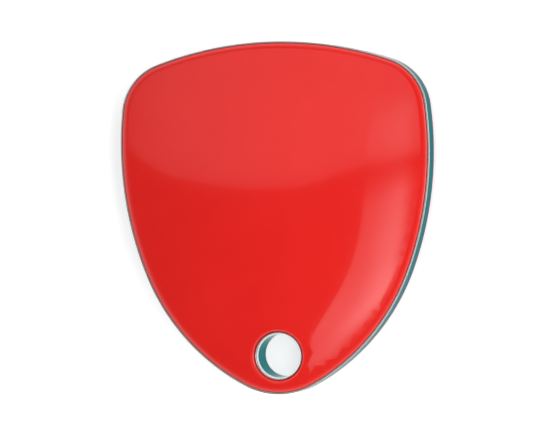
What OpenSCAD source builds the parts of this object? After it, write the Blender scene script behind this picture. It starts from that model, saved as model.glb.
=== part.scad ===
// Bluetooth tracker tag: a shield-shaped key tag whose whole glossy face is its button.
// It lies on its back. +Z is the face's normal, +Y points away from the keyring hole,
// and the origin is the middle of the rear face. All sizes are in millimetres.

/* [Outline] */
// Radius of the gently arched top edge
crown_r = 46.5; // [40:0.5:55]
// Radius of the two upper corners
shoulder_r = 6.9; // [5:0.1:8]
// Radius of the upper sides
flank_r = 45.3; // [38:0.1:55]
// Radius of the lower sides
skirt_r = 28; // [24:0.5:34]
// Edge direction where the top edge turns into the upper corner, in degrees
shoulder_from = 70.6; // [66:0.1:75]
// Edge direction where the corner turns into the upper side, in degrees
flank_from = 6.6; // [4:0.1:10]
// Edge direction where the upper side turns into the lower side, in degrees
skirt_from = -21; // [-24:0.5:-18]
// Edge direction where the lower side turns into the bottom tip, in degrees
tip_from = -61.8; // [-65:0.1:-58]

/* [Case] */
// Thickness of the rear cover's plate
cover_t = 0.9; // [0.8:0.05:1]
// Radius of the case's rounded lower edge
back_r = 2.4; // [2:0.1:2.8]
// Height of the metal lip above the rear face
lip_z = 5.5; // [5.4:0.05:5.6]
// Width of the metal lip seen around the face
lip_w = 0.22; // [0.15:0.01:0.4]
// Wall thickness of the frame below the face, inwards from the face's outline
frame_wall = 0.8; // [0.6:0.05:0.9]

/* [Face] */
// Height of the middle of the dome above the rear face
dome_top_z = 6.3; // [6.1:0.05:6.6]
// Gap between the face and the metal lip
face_gap = 0.08; // [0.05:0.01:0.15]
// How far the face travels when it is pressed
face_travel = 0.3; // [0.2:0.05:0.3]
// Width of the rounded border of the dome
dome_edge_w = 0.85; // [0.5:0.05:1.2]
// Height of the rounded border of the dome
dome_edge_h = 0.5; // [0.3:0.05:0.6]

/* [Keyring hole] */
// Distance from the hole's centre to the face's bottom tip
hole_inset = 4.75; // [4.6:0.05:5.2]
// Radius of the clear hole
hole_r = 2.85; // [2.5:0.05:2.9]
// Wall thickness of the metal eyelet
eyelet_wall = 0.27; // [0.2:0.01:0.3]
// Height of the eyelet's upper rim above the rear face
eyelet_top_z = 5.7; // [5.5:0.05:5.8]

/* [Coin cell] */
// Radius of the coin cell
cell_r = 10; // [9.9:0.05:10]
// Thickness of the coin cell
cell_t = 2.5; // [2:0.1:2.6]
// Distance of the cell's centre above the middle of the outline
cell_y = 8.2; // [8:0.1:8.4]

/* [Circuit board] */
// Thickness of the circuit board
board_t = 0.6; // [0.4:0.1:0.6]
// Height of the board's underside above the rear face
board_z = 1.9; // [1.8:0.05:1.9]
// Radius of the sounder disc
sounder_r = 5; // [4.6:0.1:5]

/* [Hidden] */
$fn = 64;

// Largest gap between a true arc of the outline and its straight steps
chord_error = 0.006;
// Overlap that carries a cut past the surface it opens
cut = 1;
// Thickness of one layer inside a hull
layer = 0.01;
// Steps of the rounded lower edge in each half of the case
back_steps = 5;
// Gap between two pieces that touch in the real tag
touch = 0.02;
// Gap between pieces that pass each other
slip = 0.05;

// Outline: centres of its arcs, measured down from the top of the face
function heading(a) = [cos(a), sin(a)];
crown_c = [0, -crown_r];
shoulder_c = crown_c + (crown_r - shoulder_r) * heading(shoulder_from);
flank_c = shoulder_c + (shoulder_r - flank_r) * heading(flank_from);
skirt_c = flank_c + (flank_r - skirt_r) * heading(skirt_from);
tip_r = skirt_r + skirt_c.x / cos(tip_from);
tip_c = [0, skirt_c.y + (skirt_r - tip_r) * sin(tip_from)];
face_h = tip_r - tip_c.y;
to_middle = [0, face_h / 2];

function arc_steps(r, sweep) = ceil(sweep / (2 * acos(1 - chord_error / r)));
// Points of one arc that turns from edge direction a0 down to a1, grown outwards by d
function arc(c, r, a0, a1, d) =
    let (n = arc_steps(r, a0 - a1))
    [for (i = [1:n]) to_middle + c + (r + d) * heading(a0 + (a1 - a0) * i / n)];
function right_side(d) = concat(
    [to_middle + crown_c + [0, crown_r + d]],
    arc(crown_c, crown_r, 90, shoulder_from, d),
    arc(shoulder_c, shoulder_r, shoulder_from, flank_from, d),
    arc(flank_c, flank_r, flank_from, skirt_from, d),
    arc(skirt_c, skirt_r, skirt_from, tip_from, d),
    arc(tip_c, tip_r, tip_from, -90, d));
function mirrored(side) = [for (i = [len(side) - 2:-1:1]) [-side[i].x, side[i].y]];
function outline_points(d) = concat(right_side(d), mirrored(right_side(d)));

// Frame and face
frame_d = face_gap + lip_w;
parting_gap = 0.06;
frame_low_z = cover_t + parting_gap;
lip_edge_r = 0.1;
ledge_w = 0.8;
ledge_low_z = 3.65;
ledge_top_z = 4.25;
plate_low_z = ledge_top_z + face_travel + slip;
plate_t = 0.5;
plate_top_z = plate_low_z + plate_t;
bond_t = 0.05;
bond_inset = 0.6;
dome_low_z = plate_top_z + bond_t;
dome_side_z = lip_z - slip;
gasket_w = 0.55;
gasket_gap = 0.15;
gasket_inset = frame_wall + gasket_gap;

// Hooks under the face that hold it in the frame
hook_t = 0.5;
hook_w = 4;
hook_low_z = 3.1;
hook_lip = 0.55;
hook_gap = 0.12;
hook_inset = frame_wall + ledge_w + hook_gap;
hook_places = [[19, 4.5], [-19, 4.5], [13.5, -9.5], [-13.5, -9.5]];
hook_reach = 7;

// Keyring hole
hole_c = [0, hole_inset - face_h / 2];
eyelet_r = hole_r + eyelet_wall;
eyelet_low_z = 0.1;
eyelet_collar_r = 3.5;
eyelet_collar_t = 0.2;
eyelet_fit = 0.02;
boss_r = 4;
face_hole_gap = 0.13;
face_hole_r = eyelet_r + face_hole_gap;
face_flare_r = 0.45;
face_flare_z = 5.66;
plate_hole_r = 3.65;

// Rear cover
cover_d = frame_d - slip;
tongue_gap = 0.15;
tongue_t = 0.6;
tongue_top_z = 2.3;
seal_t = 0.36;
seal_h = 0.5;
seal_low_z = 1.5;
seal_room = 0.03;
groove_room = 0.03;
ring_section_r = 0.2;
ring_seat_r = 3.62;
cover_hole_gap = 0.12;
cover_hole_r = eyelet_r + cover_hole_gap;
notch_w = 8;
notch_depth = 1.05;
notch_h = 0.35;
well_gap = 0.2;
well_wall = 0.4;
well_top_z = 3;
cell_low_z = 1.35;
shoulder_w = 0.9;

// Sounder
sounder_c = [0, -7.7];
chamber_floor = 0.5;
bond_ring_w = 0.6;
chamber_r = sounder_r - bond_ring_w;
sound_hole_r = 0.35;
sound_hole_pitch = 1.5;
mesh_t = 0.08;
mesh_r = 2.3;
sounder_bond_t = 0.07;
sounder_t = 0.15;
sounder_z = cover_t + sounder_bond_t;
ceramic_r = 3.8;
sounder_top_z = sounder_z + 2 * sounder_t;
blade_size = [0.8, 1.6, 0.12];
ceramic_blade_x = -1.6;
rim_blade_x = sounder_r - 0.55;

// Board and its screws
board_inset = 1.8;
board_hole_gap = 1.2;
board_end_y = -13.1;
window_gap = 0.2;
window_r = cell_r + well_gap + well_wall + window_gap;
board_top_z = board_z + board_t;
screw_places = [[14.6, 13], [-14.6, 13], [9.4, -7.6], [-9.4, -7.6]];
screw_r = 0.48;
screw_fit = 0.03;
screw_head_r = 1;
screw_head_t = 0.45;
screw_end_z = 0.55;
screw_slot_w = 0.3;
screw_slot_depth = 0.25;
screw_slot_len = 1.3;
post_r = 1.25;
board_screw_r = 0.65;

// Parts on the board
radio_c = [-14.1, 2.3];
radio_size = [5, 5, 0.85];
fast_crystal_c = [-12.6, -2.7];
fast_crystal_size = [2.5, 2, 0.6];
slow_crystal_c = [-8.2, -4.2];
slow_crystal_size = [3.2, 1.5, 0.75];
antenna_c = [14.4, 1.6];
antenna_size = [2, 7, 1];
antenna_turn = -8;
inductor_c = [5.6, -10.6];
inductor_size = [3, 3, 1.1];
inductor_core_r = 1.2;
inductor_ring_w = 0.15;
inductor_ring_depth = 0.2;
capacitor_size = [1, 0.5, 0.5];
capacitor_end = 0.22;
capacitor_places = [
    [-15.2, -1.6, 80], [-16, 6.6, 80], [-13.4, 6.5, 80], [-9.4, -10.6, 0], [-5.4, -11.2, 0],
    [12.2, -3.4, 25], [10.6, -4.1, 25], [9, -4.8, 25], [4.1, -5.3, 90], [-4.1, -6.2, 90],
    [-4.1, -8.6, 90], [14.4, 7.4, 100]
];

// Switch
switch_c = [0, -7.2];
switch_size = [4.2, 4.2, 0.8];
switch_floor = 0.2;
switch_cavity_r = 1.65;
switch_cover_t = 0.15;
terminal_size = [0.7, 0.6, 0.15];
terminal_pitch = 2.4;
plunger_r = 0.9;
plunger_flange_r = 1.35;
plunger_flange_t = 0.22;
plunger_top_z = 4.12;
plunger_guide = 0.06;
snap_dome_r = 1.5;
snap_dome_t = 0.08;
snap_dome_h = 0.33;
switch_floor_z = board_top_z + switch_floor;
switch_top_z = board_top_z + switch_size.z;
flange_low_z = switch_floor_z + snap_dome_h + touch;
press_pad_r = 1.5;

// Battery contacts
leaf_t = 0.15;
leaf_w = 3;
leaf_end_y = -2.6;
finger_w = 0.9;
finger_len = 3.4;
clip_turn = 152;
clip_w = 2.4;
clip_reach = 2.6;
clip_gap = 0.4;
clip_over_well = 0.3;

// Coin cell
cell_top_z = cell_low_z + cell_t;
can_wall = 0.25;
can_edge = 0.2;
crimp_z = cell_low_z + 0.15;
crimp_in = 0.8;
cap_r = cell_r - 1.1;
cap_flange_r = cell_r - 0.58;
cap_flange_z = crimp_z + 0.48;
grommet_top_z = cell_top_z - 0.4;

// Shared shapes
module outline(d) polygon(outline_points(d));

module slab(d, z0, z1) translate([0, 0, z0]) linear_extrude(z1 - z0) outline(d);

module at(p) translate([p.x, p.y, 0]) children();

module disc(r, z0, z1) translate([0, 0, z0]) cylinder(r = r, h = z1 - z0);

module washer(r_out, r_in, z0, z1) difference() {
    disc(r_out, z0, z1);
    disc(r_in, z0 - cut, z1 + cut);
}

// Block that stands on height z, centred in plan
module block(size, z) translate([-size.x / 2, -size.y / 2, z]) cube(size);

// Room inside the frame: the outline inset, less a disc around the keyring hole
module room(inset, r) difference() {
    outline(-inset);
    at(hole_c) circle(r);
}

module room_slab(inset, r, z0, z1) translate([0, 0, z0]) linear_extrude(z1 - z0) room(inset, r);

// Closed wall that follows the room inside the frame, gap away from it
module room_wall(gap, t, z0, z1) difference() {
    room_slab(frame_wall + gap, boss_r + gap, z0, z1);
    room_slab(frame_wall + gap + t, boss_r + gap + t, z0 - cut, z1 + cut);
}

// Solid through level rings of the outline, given from the bottom up as [growth, height]
module loft(rings) {
    n = len(right_side(0)) * 2 - 2;
    top = (len(rings) - 1) * n;
    polyhedron(
        points = [for (ring = rings, p = outline_points(ring[0])) [p.x, p.y, ring[1]]],
        faces = concat(
            [[for (i = [n - 1:-1:0]) i]],
            [for (low = [0:n:top - n], i = [0:n - 1], j = [(i + 1) % n])
                [low + i, low + j, low + n + j, low + n + i]],
            [[for (i = [0:n - 1]) top + i]]));
}

// Rings of the case's rounded lower edge between two heights
function back_rings(d, z0, z1) =
    let (from = acos(1 - z0 / back_r), to = acos(1 - z1 / back_r))
    [for (i = [0:back_steps], a = [from + (to - from) * i / back_steps])
        [d - back_r * (1 - sin(a)), back_r * (1 - cos(a))]];

// Rear half
module sound_holes() {
    disc(sound_hole_r, -cut, chamber_floor + cut);
    for (i = [0:5]) rotate(60 * i) translate([sound_hole_pitch, 0, 0])
        disc(sound_hole_r, -cut, chamber_floor + cut);
}

module cover_plate() difference() {
    loft(back_rings(cover_d, 0, cover_t));
    at(hole_c) disc(cover_hole_r, -cut, cover_t + cut);
    at(hole_c) disc(ring_seat_r, cover_t - 2 * ring_section_r, cover_t + cut);
    at(sounder_c) disc(chamber_r, chamber_floor, cover_t + cut);
    at(sounder_c) sound_holes();
    translate([-notch_w / 2, face_h / 2 + cover_d - notch_depth, cover_t - notch_h])
        cube([notch_w, notch_depth + cut, notch_h + cut]);
}

// Wall that plugs into the frame, with a groove for its seal
module cover_tongue() difference() {
    room_wall(tongue_gap, tongue_t, cover_t - layer, tongue_top_z);
    room_wall(seal_room, seal_t + groove_room,
        seal_low_z - groove_room, seal_low_z + seal_h + groove_room);
}

// Round wall and shoulder that hold the cell, cut away for its lower contact
module cell_well() at([0, cell_y]) difference() {
    union() {
        washer(cell_r + well_gap + well_wall, cell_r + well_gap, cover_t - layer, well_top_z);
        washer(cell_r + well_gap + well_wall / 2, cell_r - shoulder_w, cover_t - layer,
            crimp_z - slip);
    }
    translate([-leaf_w / 2 - well_gap, -2 * cell_r, cover_t])
        cube([leaf_w + 2 * well_gap, 2 * cell_r, cell_low_z]);
}

module screw_posts() for (p = screw_places) at(p) disc(post_r, cover_t - layer, board_z - touch);

module rear_cover() color("#c8201f") difference() {
    union() {
        cover_plate();
        cover_tongue();
        cell_well();
        screw_posts();
    }
    for (p = screw_places) at(p) disc(screw_r + screw_fit, screw_end_z - touch, board_z + cut);
}

module perimeter_seal() color("#2b2b2e")
    room_wall(seal_room, seal_t, seal_low_z, seal_low_z + seal_h);

module eyelet_seal() color("#2b2b2e") at(hole_c)
    translate([0, 0, cover_t - ring_section_r + layer]) rotate_extrude()
        translate([eyelet_r + eyelet_fit + ring_section_r, 0]) circle(ring_section_r - layer);

module sound_mesh() color("#3a3b3d") at(sounder_c)
    disc(mesh_r, chamber_floor, chamber_floor + mesh_t);

module sounder_bond() color("#d8d4c4") at(sounder_c)
    washer(sounder_r, chamber_r, cover_t, sounder_z);

module sounder_plate() color("#c9a44c") at(sounder_c)
    disc(sounder_r, sounder_z, sounder_z + sounder_t);

module sounder_ceramic() color("#e8e4d8") at(sounder_c)
    disc(ceramic_r, sounder_z + sounder_t, sounder_top_z);

// Two bent blades under the board: one on the ceramic, one on the plate's rim
module contact_blade(x, low_z) at(sounder_c + [x, 0]) {
    block(blade_size, low_z);
    translate([0, (blade_size.y - blade_size.z) / 2, 0])
        block([blade_size.x, blade_size.z, board_z - low_z - touch], low_z);
}

module sounder_contacts() color("#c9a44c") {
    contact_blade(ceramic_blade_x, sounder_top_z + touch);
    contact_blade(rim_blade_x, sounder_z + sounder_t + touch);
}

// Board and parts on it
module main_board() color("#14563a") difference() {
    translate([0, 0, board_z]) linear_extrude(board_t) intersection() {
        room(board_inset, boss_r + board_hole_gap);
        translate([-2 * cell_r, board_end_y]) square([4 * cell_r, 4 * cell_r]);
    }
    at([0, cell_y]) disc(window_r, board_z - cut, board_top_z + cut);
    for (p = screw_places) at(p) disc(board_screw_r, board_z - cut, board_top_z + cut);
}

module radio_chip() color("#1d1d20") at(radio_c) block(radio_size, board_top_z);

module fast_crystal() color("#c6c9cb") at(fast_crystal_c) block(fast_crystal_size, board_top_z);

module slow_crystal() color("#d6d8d9") at(slow_crystal_c) block(slow_crystal_size, board_top_z);

module chip_antenna() color("#e9e7e0") at(antenna_c) rotate(antenna_turn)
    block(antenna_size, board_top_z);

module sounder_inductor() color("#3b3c40") at(inductor_c) difference() {
    block(inductor_size, board_top_z);
    top_z = board_top_z + inductor_size.z;
    washer(inductor_core_r + inductor_ring_w, inductor_core_r, top_z - inductor_ring_depth, top_z + cut);
}

module capacitor_at(p) at(p) rotate(p.z) children();

module capacitor_bodies() color("#a58a68") for (p = capacitor_places) capacitor_at(p)
    block(capacitor_size - [2 * capacitor_end, 0, 0], board_top_z);

module capacitor_ends() color("#cfd2d4") for (p = capacitor_places, side = [-1, 1])
    capacitor_at(p) translate([side * (capacitor_size.x - capacitor_end) / 2, 0, 0])
        block([capacitor_end, capacitor_size.y, capacitor_size.z], board_top_z);

// Tactile switch
module switch_base() color("#26272a") at(switch_c) difference() {
    block(switch_size, board_top_z);
    disc(switch_cavity_r, switch_floor_z, switch_top_z + cut);
}

module switch_terminals() color("#cfd2d4") at(switch_c) for (x = [-1, 1], y = [-1, 1])
    translate([x * (switch_size.x + terminal_size.x) / 2, y * terminal_pitch / 2, 0])
        block(terminal_size, board_top_z);

// Springy domed disc that the plunger buckles
module switch_dome() color("#d9dadb") at(switch_c) translate([0, 0, switch_floor_z]) rotate_extrude()
    polygon(concat(
        [for (i = [0:6]) [snap_dome_r * i / 6, snap_dome_h * (1 - pow(i / 6, 2)) + snap_dome_t * i / 6]],
        [for (i = [6:-1:0]) [(snap_dome_r - snap_dome_t) * i / 6,
            (snap_dome_h - snap_dome_t) * (1 - pow(i / 6, 2))]]));

module switch_cover() color("#d2d4d6") at(switch_c) difference() {
    block([switch_size.x, switch_size.y, switch_cover_t], switch_top_z);
    disc(plunger_r + plunger_guide, switch_top_z - cut, switch_top_z + cut);
}

module switch_plunger() color("#f0efe9") at(switch_c) {
    disc(plunger_flange_r, flange_low_z, flange_low_z + plunger_flange_t);
    disc(plunger_r, flange_low_z, plunger_top_z);
}

// Battery contacts
module negative_contact() color("#cbb682") {
    low = cover_t + touch;
    translate([-leaf_w / 2, leaf_end_y, low]) cube([leaf_w, cell_y - leaf_end_y, leaf_t]);
    translate([-leaf_w / 2, leaf_end_y, low])
        cube([leaf_w, leaf_t, board_z - touch - low]);
    for (x = [-1, 1]) translate([x * (leaf_w - finger_w) / 2, cell_y, 0]) {
        translate([-finger_w / 2, -leaf_w, low]) cube([finger_w, leaf_w + finger_len, leaf_t]);
        translate([-finger_w / 2, finger_len - finger_w, low])
            cube([finger_w, finger_w, cell_low_z - touch - low]);
    }
}

// Clip on the board that reaches over the cell's wall and touches the can's side
module positive_contact() color("#cbb682") at([0, cell_y]) rotate(clip_turn) {
    root_x = window_r + clip_gap;
    arm_z = well_top_z + clip_over_well;
    translate([root_x, -clip_w / 2, board_top_z]) cube([clip_reach, clip_w, leaf_t]);
    translate([root_x, -clip_w / 2, board_top_z]) cube([leaf_t, clip_w, arm_z + leaf_t - board_top_z]);
    translate([cell_r + touch, -clip_w / 2, arm_z]) cube([root_x - cell_r, clip_w, leaf_t]);
}

module board_screw() difference() {
    union() {
        disc(screw_r, screw_end_z, board_top_z + touch + layer);
        disc(screw_head_r, board_top_z + touch, board_top_z + touch + screw_head_t);
    }
    for (turn = [0, 90]) rotate(turn) block([screw_slot_len, screw_slot_w, screw_slot_depth + cut],
        board_top_z + touch + screw_head_t - screw_slot_depth);
}

module board_screws() color("#9a9da0") for (p = screw_places) at(p) board_screw();

// Front half
module bezel_frame() color("#b9c4c4") difference() {
    loft(concat(
        back_rings(frame_d, frame_low_z, back_r),
        [for (a = [0:22.5:90]) [frame_d - lip_edge_r * (1 - cos(a)), lip_z - lip_edge_r * (1 - sin(a))]]));
    room_slab(frame_wall, boss_r, frame_low_z - cut, ledge_low_z);
    room_slab(frame_wall + ledge_w, boss_r, ledge_low_z - cut, ledge_top_z + cut);
    slab(face_gap, ledge_top_z, lip_z + cut);
    at(hole_c) disc(eyelet_r + eyelet_fit, frame_low_z - cut, lip_z);
}

// Metal tube with rounded rims and a collar that rests on the frame's boss
module keyring_eyelet() color("#dfe5e4") at(hole_c) rotate_extrude() {
    rim = eyelet_wall / 2;
    mid_r = hole_r + rim;
    polygon(concat(
        [for (a = [180:-30:0]) [mid_r + rim * cos(a), eyelet_top_z - rim + rim * sin(a)]],
        [
            [eyelet_r, ledge_top_z + touch + eyelet_collar_t],
            [eyelet_collar_r, ledge_top_z + touch + eyelet_collar_t],
            [eyelet_collar_r, ledge_top_z + touch],
            [eyelet_r, ledge_top_z + touch]
        ],
        [for (a = [0:-30:-180]) [mid_r + rim * cos(a), eyelet_low_z + rim + rim * sin(a)]]));
}

module face_gasket() color("#4a4b4e") difference() {
    slab(-gasket_inset, ledge_top_z, plate_low_z - touch);
    slab(-gasket_inset - gasket_w, ledge_top_z - cut, plate_low_z + cut);
    at(hole_c) disc(boss_r, ledge_top_z - cut, plate_low_z + cut);
}

// Face: plate with hooks, bonded under the dome
module face_hook(p) intersection() {
    translate([p.x - sign(p.x) * hook_reach / 2, p.y, 0])
        block([2 * hook_reach, hook_w, plate_low_z], hook_low_z);
    union() {
        difference() {
            slab(-hook_inset, hook_low_z, plate_low_z + layer);
            slab(-hook_inset - hook_t, hook_low_z - cut, plate_low_z + cut);
        }
        difference() {
            slab(-hook_inset + hook_lip, hook_low_z, ledge_low_z - slip);
            slab(-hook_inset - hook_t, hook_low_z - cut, ledge_low_z + cut);
        }
    }
}

module face_plate() color("#8e1514") difference() {
    union() {
        slab(-touch, plate_low_z, plate_top_z);
        for (p = hook_places) face_hook(p);
    }
    at(hole_c) disc(plate_hole_r, plate_low_z - cut, plate_top_z + cut);
}

module face_bond() color("#d9cfc6") difference() {
    slab(-bond_inset, plate_top_z, dome_low_z);
    at(hole_c) disc(plate_hole_r, plate_low_z, dome_low_z + cut);
}

// Convex cap: straight side, rounded border, then a gentle crown, as one hull
module dome_body() hull() {
    crown_low_z = dome_side_z + dome_edge_h;
    slab(0, dome_low_z, dome_low_z + layer);
    for (a = [0:15:90])
        slab(-dome_edge_w * (1 - cos(a)), dome_side_z + dome_edge_h * sin(a) - layer,
            dome_side_z + dome_edge_h * sin(a));
    for (s = [0.85:-0.175:0.15], z = [dome_top_z - (dome_top_z - crown_low_z) * s * s])
        translate([0, 0, z - layer]) linear_extrude(layer) scale([s, s]) outline(0);
}

// Opening for the eyelet, flared where it meets the dome's surface
module face_opening() at(hole_c) rotate_extrude() polygon(concat(
    [[0, dome_low_z - cut], [face_hole_r, dome_low_z - cut]],
    [for (a = [0:15:90])
        [face_hole_r + face_flare_r * (1 - cos(a)), face_flare_z + face_flare_r * sin(a)]],
    [[face_hole_r + face_flare_r, dome_top_z + cut], [0, dome_top_z + cut]]));

module face_dome() color("#e42b27") difference() {
    dome_body();
    face_opening();
}

module press_pad() color("#3c3c40") at(switch_c) disc(press_pad_r, plunger_top_z + touch, plate_low_z);

// Coin cell
module cell_part(points) at([0, cell_y]) rotate_extrude() polygon(points);

module cell_can() color("#cfd3d6") cell_part([
    [0, cell_top_z], [cell_r - can_edge, cell_top_z], [cell_r, cell_top_z - can_edge],
    [cell_r, crimp_z + can_edge / 2], [cell_r - can_edge / 2, crimp_z],
    [cell_r - crimp_in, crimp_z], [cell_r - crimp_in, crimp_z + can_wall - slip],
    [cell_r - can_wall, crimp_z + can_wall - slip], [cell_r - can_wall, cell_top_z - can_wall],
    [0, cell_top_z - can_wall]
]);

module cell_cap() color("#bfc4c7") cell_part([
    [0, cell_low_z], [cap_r - can_edge, cell_low_z], [cap_r, cell_low_z + can_edge],
    [cap_r, cap_flange_z], [cap_flange_r, cap_flange_z], [cap_flange_r, cap_flange_z + can_wall],
    [cap_r - can_wall, cap_flange_z + can_wall], [cap_r - can_wall, cell_low_z + can_wall],
    [0, cell_low_z + can_wall]
]);

module cell_grommet() color("#3a3a3c") cell_part([
    [cell_r - crimp_in, crimp_z + can_wall - slip + layer],
    [cell_r - can_wall - layer, crimp_z + can_wall - slip + layer],
    [cell_r - can_wall - layer, grommet_top_z], [cap_flange_r + layer, grommet_top_z],
    [cap_flange_r + layer, cap_flange_z - layer], [cell_r - crimp_in, cap_flange_z - layer]
]);

module cell_core() color("#6d6a66") cell_part([
    [0, cell_low_z + can_wall + layer], [cap_r - can_wall - layer, cell_low_z + can_wall + layer],
    [cap_r - can_wall - layer, cap_flange_z + can_wall + layer],
    [cap_flange_r - layer, cap_flange_z + can_wall + layer],
    [cap_flange_r - layer, cell_top_z - can_wall - layer], [0, cell_top_z - can_wall - layer]
]);

rear_cover();
perimeter_seal();
eyelet_seal();
sound_mesh();
sounder_bond();
sounder_plate();
sounder_ceramic();
sounder_contacts();
main_board();
radio_chip();
fast_crystal();
slow_crystal();
chip_antenna();
sounder_inductor();
capacitor_bodies();
capacitor_ends();
switch_base();
switch_terminals();
switch_dome();
switch_cover();
switch_plunger();
negative_contact();
positive_contact();
board_screws();
bezel_frame();
keyring_eyelet();
face_gasket();
face_plate();
face_bond();
face_dome();
press_pad();
cell_can();
cell_cap();
cell_grommet();
cell_core();
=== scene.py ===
import math

import bmesh
import bpy
from mathutils import Matrix, Vector
from mathutils.geometry import delaunay_2d_cdt


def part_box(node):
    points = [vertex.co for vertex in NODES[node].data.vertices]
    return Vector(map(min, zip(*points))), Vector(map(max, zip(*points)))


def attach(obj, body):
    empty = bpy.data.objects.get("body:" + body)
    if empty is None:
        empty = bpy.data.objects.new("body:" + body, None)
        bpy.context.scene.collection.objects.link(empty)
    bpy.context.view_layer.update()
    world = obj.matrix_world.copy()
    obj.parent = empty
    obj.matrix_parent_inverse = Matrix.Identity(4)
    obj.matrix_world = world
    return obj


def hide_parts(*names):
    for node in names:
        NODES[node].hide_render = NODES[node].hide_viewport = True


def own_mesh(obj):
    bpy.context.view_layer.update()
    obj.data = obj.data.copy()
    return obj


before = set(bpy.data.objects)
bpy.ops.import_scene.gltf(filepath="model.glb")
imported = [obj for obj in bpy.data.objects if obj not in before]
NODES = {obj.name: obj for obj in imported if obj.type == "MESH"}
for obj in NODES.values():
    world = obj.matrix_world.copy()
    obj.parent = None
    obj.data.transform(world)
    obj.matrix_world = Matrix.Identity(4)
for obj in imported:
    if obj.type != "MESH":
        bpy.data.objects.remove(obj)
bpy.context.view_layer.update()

MM = 0.001

# Arcs of the face's outline: radius, and the edge directions it turns between
CROWN_R, SHOULDER_R, FLANK_R, SKIRT_R = 46.5 * MM, 6.9 * MM, 45.3 * MM, 28 * MM
SHOULDER_FROM, FLANK_FROM, SKIRT_FROM, TIP_FROM = (math.radians(a) for a in (70.6, 6.6, -21, -61.8))
OUTLINE_STEP = 0.6 * MM

# Heights and places read from the frame
FACE_LOW, FACE_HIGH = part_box("face_dome")
FRAME_LOW, FRAME_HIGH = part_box("bezel_frame")
EYELET_LOW, EYELET_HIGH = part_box("keyring_eyelet")
CELL_LOW, CELL_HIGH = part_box("cell_can")
BOARD_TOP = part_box("main_board")[1].z
HOLE = (EYELET_LOW + EYELET_HIGH) / 2
CELL = (CELL_LOW + CELL_HIGH) / 2
FACE_H = FACE_HIGH.y - FACE_LOW.y
FRAME_D = (FRAME_HIGH.y - FRAME_LOW.y - FACE_H) / 2
FACE_GAP = 0.03 * MM

# Dome
DOME_SIDE_Z = FRAME_HIGH.z - 0.05 * MM
DOME_SAG = 0.46 * MM
DOME_POWER = 3.6
DOME_EDGE_W = 0.85 * MM
DOME_GRID = 0.8 * MM
FACE_HOLE_R = 3.19 * MM
FLARE_R = 0.45 * MM

# Eyelet
EYELET_R = 3.12 * MM
BORE_R = 2.85 * MM
BORE_FLARE = 0.95 * MM
COLLAR_R, COLLAR_LOW, COLLAR_HIGH = 3.5 * MM, 4.27 * MM, 4.47 * MM

# Case
BACK_R = 2.4 * MM
FRAME_WALL = 0.8 * MM
LEDGE_W, LEDGE_LOW, LEDGE_TOP = 1.6 * MM, 3.65 * MM, 4.25 * MM
BOSS_IN, BOSS_OUT = EYELET_R + 0.02 * MM, 4 * MM

# Board
COPPER_SUNK = 0.01 * MM
ANTENNA_TURN = math.radians(82)
CLEAR_OF_CELL = 11.7 * MM


# ---------------------------------------------------------------- outline
def heading(a):
    """Unit vector at angle a."""
    return Vector((math.cos(a), math.sin(a)))


def outline_arcs():
    """(centre, radius, from, to) of each arc on the right side, with the origin mid-height."""
    crown = Vector((0, -CROWN_R))
    shoulder = crown + (CROWN_R - SHOULDER_R) * heading(SHOULDER_FROM)
    flank = shoulder + (SHOULDER_R - FLANK_R) * heading(FLANK_FROM)
    skirt = flank + (FLANK_R - SKIRT_R) * heading(SKIRT_FROM)
    tip_r = SKIRT_R + skirt.x / math.cos(TIP_FROM)
    tip = Vector((0, skirt.y + (SKIRT_R - tip_r) * math.sin(TIP_FROM)))
    middle = Vector((0, (tip_r - tip.y) / 2))
    turns = (math.pi / 2, SHOULDER_FROM, FLANK_FROM, SKIRT_FROM, TIP_FROM, -math.pi / 2)
    centres = (crown, shoulder, flank, skirt, tip)
    radii = (CROWN_R, SHOULDER_R, FLANK_R, SKIRT_R, tip_r)
    return [(c + middle, r, a, b) for c, r, a, b in zip(centres, radii, turns, turns[1:])]


def outline_stations():
    """(point, outward normal) round the face's outline, clockwise from the top."""
    right = []
    for centre, radius, start, end in outline_arcs():
        n = max(3, math.ceil(radius * (start - end) / OUTLINE_STEP), math.ceil((start - end) / 0.06))
        for i in range(n):
            a = start + (end - start) * i / n
            right.append((centre + radius * heading(a), heading(a)))
    bottom = Vector((0, right[0][0].y - FACE_H))
    left = [(Vector((-p.x, p.y)), Vector((-n.x, n.y))) for p, n in reversed(right[1:])]
    return right + [(bottom, Vector((0, -1)))] + left


STATIONS = outline_stations()


def ring(d, z):
    """The outline grown outwards by d, at height z."""
    return [(p.x + d * n.x, p.y + d * n.y, z) for p, n in STATIONS]


def circle(centre, r, z, count=96):
    """Points of a level circle, clockwise from its right-hand point."""
    angles = [-2 * math.pi * i / count for i in range(count)]
    return [(centre.x + r * math.cos(a), centre.y + r * math.sin(a), z) for a in angles]


def fillet(points, r, closed=True, steps=4):
    """The profile with each corner rounded by r, or less where its sides are short."""
    out = []
    n = len(points)
    for i, p in enumerate(points):
        p = Vector(p)
        if not closed and i in (0, n - 1):
            out.append(p)
            continue
        a, b = Vector(points[i - 1]) - p, Vector(points[(i + 1) % n]) - p
        cut = min(r, 0.45 * a.length, 0.45 * b.length)
        start, end = p + a.normalized() * cut, p + b.normalized() * cut
        for k in range(steps + 1):
            t = k / steps
            out.append(start.lerp(p, t).lerp(p.lerp(end, t), t))
    return out


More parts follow.
